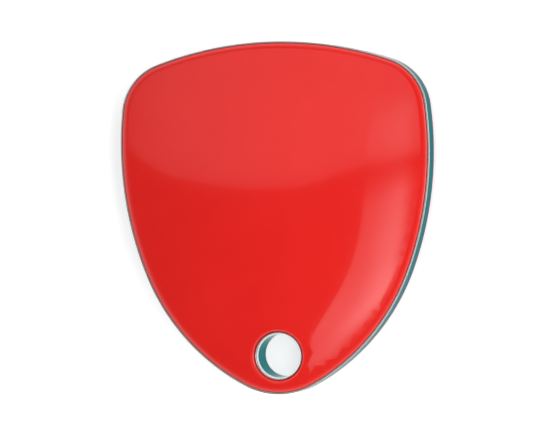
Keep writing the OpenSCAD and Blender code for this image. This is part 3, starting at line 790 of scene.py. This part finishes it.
# ---------------------------------------------------------------- soft pieces
def face_gasket():
    """Ribbed soft strip between the face and the frame's ledge, open where the eyelet stands."""
    low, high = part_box("face_gasket")
    outside, inside = -0.95 * MM, -1.5 * MM
    clear = [i for i, (p, n) in enumerate(STATIONS) if (p + outside * n - HOLE.xy).length > 4.7 * MM]
    split = next(k for k, i in enumerate(clear) if i != k)
    path = clear[split:] + clear[:split]
    rib = 0.05 * MM
    heights = [low.z + (high.z - low.z) * k / 8 for k in range(9)]
    side = [(rib if k % 2 else 0, z) for k, z in enumerate(heights)]
    section = [(outside - d, z) for d, z in side] + [(inside + d, z) for d, z in reversed(side)]
    rows = [[(*(STATIONS[i][0] + d * STATIONS[i][1]), z) for d, z in section] for i in path]
    bm = bmesh.new()
    loft(bm, rows, cap_low=True, cap_high=True)
    gasket = piece("face_gasket_strip", bm, "front_half", SEAL, ["face_gasket"])
    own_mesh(gasket)


def switch_dome():
    """Springy domed disc under the plunger."""
    low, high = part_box("switch_dome")
    r, wall = (high.x - low.x) / 2, 0.08 * MM
    rise = high.z - low.z
    steps = [i / 10 for i in range(11)]
    upper = [(r * t, low.z + rise * (1 - t * t) + wall * 0.9 * t) for t in steps]
    under = [((r - wall) * t, low.z + (rise - wall) * (1 - t * t)) for t in reversed(steps)]
    bm = bmesh.new()
    lathe(bm, (low + high) / 2, upper + under, count=48)
    dome = piece("switch_dome_disc", bm, "rear_half", STEEL, ["switch_dome"])
    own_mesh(dome)


# ---------------------------------------------------------------- studio
def studio_floor():
    """A wide level disc under the tag."""
    bm = bmesh.new()
    lathe(bm, Vector((0, 0)), [(0, 0), (0.5, 0), (3, 0)], count=64)
    mesh = bpy.data.meshes.new("floor")
    bmesh.ops.recalc_face_normals(bm, faces=bm.faces)
    bm.to_mesh(mesh)
    bm.free()
    floor = bpy.data.objects.new("floor", mesh)
    bpy.context.scene.collection.objects.link(floor)
    mesh.materials.append(floor_material())


def panel(name, place, size, target, radiance, glossy=True):
    """A soft light of even radiance that faces a target."""
    light = bpy.data.lights.new(name, "AREA")
    light.shape = "RECTANGLE"
    light.size, light.size_y = size
    light.energy = radiance * math.pi * size[0] * size[1]
    obj = bpy.data.objects.new(name, light)
    obj.location = place
    obj.rotation_euler = (Vector(target) - Vector(place)).to_track_quat("-Z", "Y").to_euler()
    obj.visible_camera = False
    obj.visible_glossy = glossy
    bpy.context.scene.collection.objects.link(obj)


def ease(t, stops):
    """Smooth interpolation through (position, value) stops."""
    if t <= stops[0][0]:
        return stops[0][1]
    for (t0, v0), (t1, v1) in zip(stops, stops[1:]):
        if t <= t1:
            share = (t - t0) / (t1 - t0)
            return v0 + (v1 - v0) * share * share * (3 - 2 * share)
    return stops[-1][1]


def glow_material(name, radiance):
    """Light whose strength follows the mesh's glow values."""
    material = bpy.data.materials.new(name)
    material.use_nodes = True
    tree = material.node_tree
    tree.nodes.clear()
    glow = tree.nodes.new("ShaderNodeAttribute")
    glow.attribute_name = "glow"
    strength = tree.nodes.new("ShaderNodeMath")
    strength.operation = "MULTIPLY"
    strength.inputs[1].default_value = radiance
    emission = tree.nodes.new("ShaderNodeEmission")
    output = tree.nodes.new("ShaderNodeOutputMaterial")
    tree.links.new(glow.outputs["Fac"], strength.inputs[0])
    tree.links.new(strength.outputs["Value"], emission.inputs["Strength"])
    tree.links.new(emission.outputs["Emission"], output.inputs["Surface"])
    return material


def softbox(name, point, glow, radiance, columns=24, rows=36):
    """A glowing sheet: point(u, v) and glow(u, v) give its shape and brightness."""
    grid = [(i / columns, j / rows) for j in range(rows + 1) for i in range(columns + 1)]
    width = columns + 1
    faces = [(k, k + 1, k + 1 + width, k + width)
             for j in range(rows) for k in range(j * width, j * width + columns)]
    mesh = bpy.data.meshes.new(name)
    mesh.from_pydata([point(u, v) for u, v in grid], [], faces)
    values = mesh.attributes.new("glow", "FLOAT", "POINT").data
    values.foreach_set("value", [glow(u, v) for u, v in grid])
    mesh.materials.append(glow_material(name, radiance))
    obj = bpy.data.objects.new(name, mesh)
    obj.visible_camera = False
    bpy.context.scene.collection.objects.link(obj)


def right_softbox():
    """Tall soft light over the right of the tag, brightest along its lower middle."""
    y_low, y_high, z = -0.119, 0.072, 0.62

    def point(u, v):
        y = y_low + (y_high - y_low) * v
        left = ease(y, [(-0.119, -0.093), (-0.08, -0.095), (-0.02, -0.077), (0.07, -0.075)])
        return left + (0.02 - left) * u, y, z

    def glow(u, v):
        x, y, _ = point(u, v)
        band = ease(y, [(-0.119, 0.25), (-0.10, 0.47), (-0.07, 0.96), (-0.03, 0.66), (-0.008, 0.5),
                        (0.003, 0.14), (0.010, 0.08), (0.016, 0.17), (0.03, 0.18), (0.07, 0.0)])
        crest = ease(y, [(-0.11, -0.072), (-0.06, -0.024), (0.02, -0.03)])
        across = ease(x, [(crest - 0.05, 0.44), (crest, 1.0), (crest + 0.028, 0.18)])
        return band * across + ease(y, [(0.008, 0.0), (0.015, 0.2)])

    softbox("right_softbox", point, glow, 2.6)


def top_softbox():
    """Broad faint light over the top of the tag, with a bowed lower edge."""
    def point(u, v):
        x = -0.36 + 0.4 * u
        low = ease(x, [(-0.36, 0.02), (-0.20, 0.006), (-0.151, 0.004), (-0.09, 0.010), (-0.04, 0.012)])
        return x, low + (0.32 - low) * v, 0.7

    def glow(u, v):
        x = -0.36 + 0.4 * u
        return ease(x, [(-0.34, 0.6), (-0.19, 1.0), (0.04, 1.0)]) * ease(v, [(0, 0.85), (0.02, 1.0)])

    softbox("top_softbox", point, glow, 0.51)


def studio_lights():
    """Two softboxes and a rim panel show in reflections. The other panels only give soft fill."""
    centre = (0, 0, 0)
    right_softbox()
    top_softbox()
    panel("near_key", (0.016, 0.0, 0.062), (0.03, 0.15), (0.016, 0, 0), 2.55, glossy=False)
    panel("rim_right", (0.8, 0.04, 0.17), (0.5, 0.22), centre, 2.2)
    panel("side_right", (0.75, -0.1, 0.3), (0.5, 0.7), centre, 0.2, glossy=False)
    panel("side_left", (-0.7, -0.35, 0.4), (0.5, 0.6), centre, 0.1, glossy=False)
    panel("back", (-0.1, 0.8, 0.35), (0.8, 0.4), centre, 0.35, glossy=False)
    panel("front", (0.1, -0.85, 0.35), (0.8, 0.4), centre, 0.3, glossy=False)


def studio_world():
    """Pale walls that fade to a dark ceiling."""
    world = bpy.data.worlds.new("studio")
    bpy.context.scene.world = world
    world.use_nodes = True
    tree = world.node_tree
    background = tree.nodes["Background"]
    place = tree.nodes.new("ShaderNodeTexCoord")
    split = tree.nodes.new("ShaderNodeSeparateXYZ")
    ramp = tree.nodes.new("ShaderNodeValToRGB")
    stops = ((0.45, 0.95), (0.66, 0.45), (0.93, 0.07))
    ramp.color_ramp.elements.new(0.5)
    for element, (position, value) in zip(ramp.color_ramp.elements, stops):
        element.position = position
        element.color = (value, value, value, 1)
    tree.links.new(place.outputs["Generated"], split.inputs["Vector"])
    tree.links.new(split.outputs["Z"], ramp.inputs["Fac"])
    tree.links.new(ramp.outputs["Color"], background.inputs["Color"])
    background.inputs["Strength"].default_value = 1.0


def camera():
    """Looks down on the face from 12 degrees to its right, rolled a little."""
    azimuth, tilt, roll = math.radians(12.0), math.radians(0.5), math.radians(1.35)
    distance, lens = 0.55, 276
    aim = Vector((-0.06 * MM, -0.27 * MM, FRAME_HIGH.z))
    back = Vector((math.sin(azimuth) * math.cos(tilt), math.sin(tilt), math.cos(azimuth) * math.cos(tilt)))
    right = Vector((0, 1, 0)).cross(back).normalized()
    up = back.cross(right)
    up_rolled = up * math.cos(roll) + right * math.sin(roll)
    right_rolled = up_rolled.cross(back)
    data = bpy.data.cameras.new("camera")
    data.lens, data.sensor_width = lens, 36
    data.clip_start, data.clip_end = 0.01, 20
    obj = bpy.data.objects.new("camera", data)
    bpy.context.scene.collection.objects.link(obj)
    obj.rotation_mode = "QUATERNION"
    obj.rotation_quaternion = Matrix((right_rolled, up_rolled, back)).transposed().to_quaternion()
    obj.location = aim + back * distance
    bpy.context.scene.camera = obj


dress_cad_nodes()
face_dome()
bezel_frame()
keyring_eyelet()
board_copper()
board_traces()
solder()
part_marks()
cell_shell()
face_gasket()
switch_dome()
studio_floor()
studio_lights()
studio_world()
camera()
bpy.context.scene.view_settings.view_transform = "Standard"
